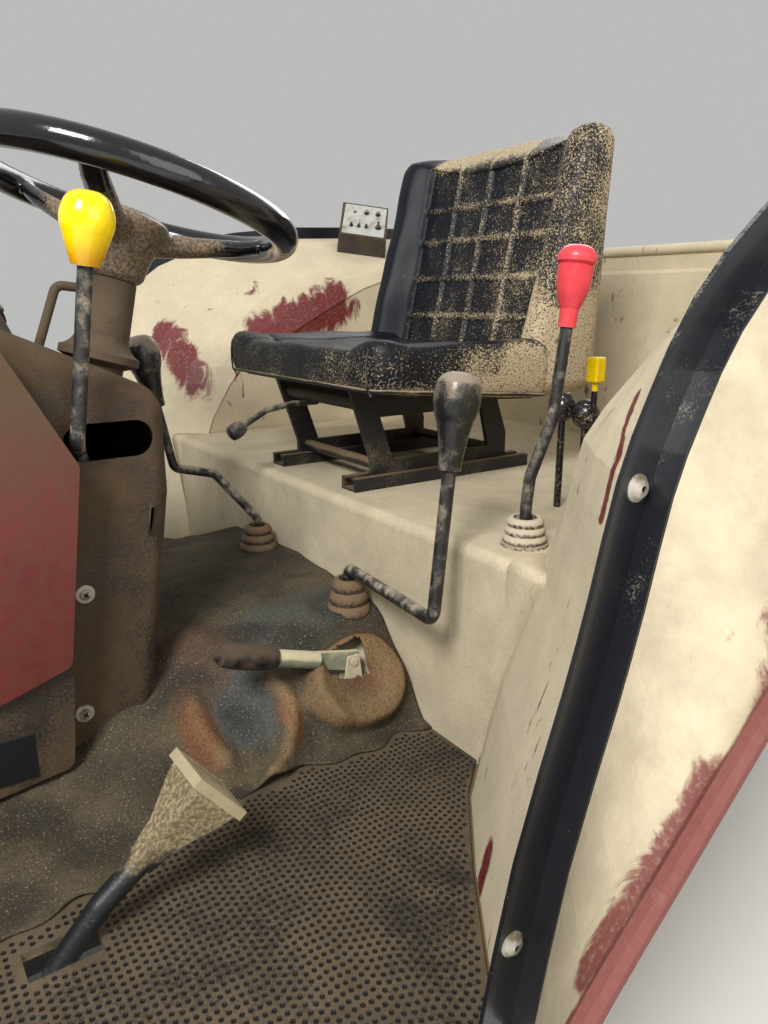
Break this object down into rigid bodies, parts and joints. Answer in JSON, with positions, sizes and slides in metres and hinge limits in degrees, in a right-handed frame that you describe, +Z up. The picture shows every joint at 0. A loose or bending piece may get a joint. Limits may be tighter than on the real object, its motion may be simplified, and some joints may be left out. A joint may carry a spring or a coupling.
{
  "type": "tractor driver's station",
  "caption": "Driver's station of a farm tractor: floor with tunnel, wheel guards, dash console, steering wheel, sliding seat, pedals and levers on rubber mounts.",
  "frame": {"origin": "centre of the four mounting bolts at the underside of the mounting plates", "axes": "+X forward, +Y to the driver's left, +Z up"},
  "size_m": [1.4618, 1.7106, 1.012],
  "materials": {
    "black_steel": "satin black paint under dust",
    "rubber": "matt worn rubber under dirt",
    "dusty_red_paint": "red paint under pale dust",
    "red_panel": "red paint under brown dust",
    "black_strip": "semi-gloss black, dusty",
    "black_plastic": "grained plastic under brown dust",
    "wheel_plastic": "glossy black moulding",
    "black_vinyl": "black moulded vinyl with dust",
    "lever_steel": "chipped black paint on steel",
    "black_knob": "hard black plastic",
    "yellow_knob": "glossy yellow plastic",
    "red_knob": "faded red plastic"
  },
  "bodies": {
    "root": {"side_rails": "black_steel", "cross_members": "black_steel", "mount_plates": "black_steel", "mount_rubbers": "rubber", "floor_plate": "dusty_red_paint", "floor_mat_left": "rubber", "floor_mat_right": "rubber", "tunnel_cover": "dusty_red_paint", "tunnel_mat": "rubber", "seat_ledge": "dusty_red_paint", "rear_panel": "dusty_red_paint", "bulkhead": "dusty_red_paint", "console_lower": "black_plastic", "console_cowl": "black_plastic", "instrument_panel": "black_plastic", "column_shroud": "black_plastic", "column_bow": "black_steel", "seat_rails": "black_steel", "lever_gaiters": "rubber", "hydraulic_levers": "lever_steel", "switch_box": "black_plastic", "pedal_shafts": "black_steel", "foot_throttle": "rubber", "guard_skin_left": "dusty_red_paint", "guard_wall_left": "dusty_red_paint", "door_strip_left": "black_strip", "guard_outer_left": "dusty_red_paint", "side_panel_left": "red_panel", "kick_panel_left": "black_plastic", "guard_skin_right": "dusty_red_paint", "guard_wall_right": "dusty_red_paint", "door_strip_right": "black_strip", "guard_outer_right": "dusty_red_paint", "side_panel_right": "red_panel", "kick_panel_right": "black_plastic"},
    "steering_wheel": {"steering_rim": "wheel_plastic", "steering_hub": "wheel_plastic"},
    "seat": {"seat_frame": "black_steel", "seat_pan": "black_steel", "seat_cushion": "black_vinyl", "seat_backrest": "black_vinyl", "seat_lever": "lever_steel"},
    "clutch": {"clutch_pedal": "lever_steel", "clutch_pad": "rubber"},
    "brake_left": {"brake_pedal_left": "lever_steel", "brake_pad_left": "rubber"},
    "brake_right": {"brake_pedal_right": "lever_steel", "brake_pad_right": "rubber"},
    "gear": {"gear_lever": "lever_steel", "gear_knob": "black_knob"},
    "range": {"range_lever": "lever_steel", "range_knob": "black_knob"},
    "shuttle": {"shuttle_lever": "lever_steel", "shuttle_knob": "yellow_knob"},
    "handbrake": {"handbrake_lever": "lever_steel", "handbrake_grip": "black_knob"},
    "lift": {"lift_lever": "lever_steel", "lift_knob": "red_knob"}
  },
  "joints": [
    {"name": "steering_turn", "type": "hinge", "parent": "root", "child": "steering_wheel", "pos_m": [0.153, 0, 0.879], "axis": [-0.2756, 0, 0.9613], "continuous": true},
    {"name": "seat_slide", "type": "slide", "parent": "root", "child": "seat", "axis": [1, 0, 0], "range_m": [-0.08, 0.06]},
    {"name": "clutch_press", "type": "hinge", "parent": "root", "child": "clutch", "pos_m": [0.3, 0.471, 0.125], "axis": [0, 1, 0], "range_deg": [0, 15], "stiffness_Nm_per_rad": 20, "springref_deg": -28.65},
    {"name": "brake_left_press", "type": "hinge", "parent": "root", "child": "brake_left", "pos_m": [0.3, -0.43, 0.125], "axis": [0, 1, 0], "range_deg": [0, 15], "stiffness_Nm_per_rad": 20, "springref_deg": -28.65},
    {"name": "brake_right_press", "type": "hinge", "parent": "root", "child": "brake_right", "pos_m": [0.3, -0.512, 0.125], "axis": [0, 1, 0], "range_deg": [0, 15], "stiffness_Nm_per_rad": 20, "springref_deg": -28.65},
    {"name": "gear_shift", "type": "hinge", "parent": "root", "child": "gear", "pos_m": [-0.04, 0.222, 0.36], "axis": [0, 1, 0], "range_deg": [-6, 12]},
    {"name": "range_shift", "type": "hinge", "parent": "root", "child": "range", "pos_m": [-0.038, -0.06, 0.368], "axis": [0, 1, 0], "range_deg": [-8, 8]},
    {"name": "shuttle_shift", "type": "hinge", "parent": "root", "child": "shuttle", "pos_m": [0.256, 0.191, 0.43], "axis": [0, -1, 0], "range_deg": [0, 20]},
    {"name": "handbrake_pull", "type": "hinge", "parent": "root", "child": "handbrake", "pos_m": [0.008, 0.3, 0.296], "axis": [0, -1, 0], "range_deg": [0, 30]},
    {"name": "lift_shift", "type": "hinge", "parent": "root", "child": "lift", "pos_m": [-0.136, 0.462, 0.486], "axis": [0, 1, 0], "range_deg": [-12, 12]}
  ]
}
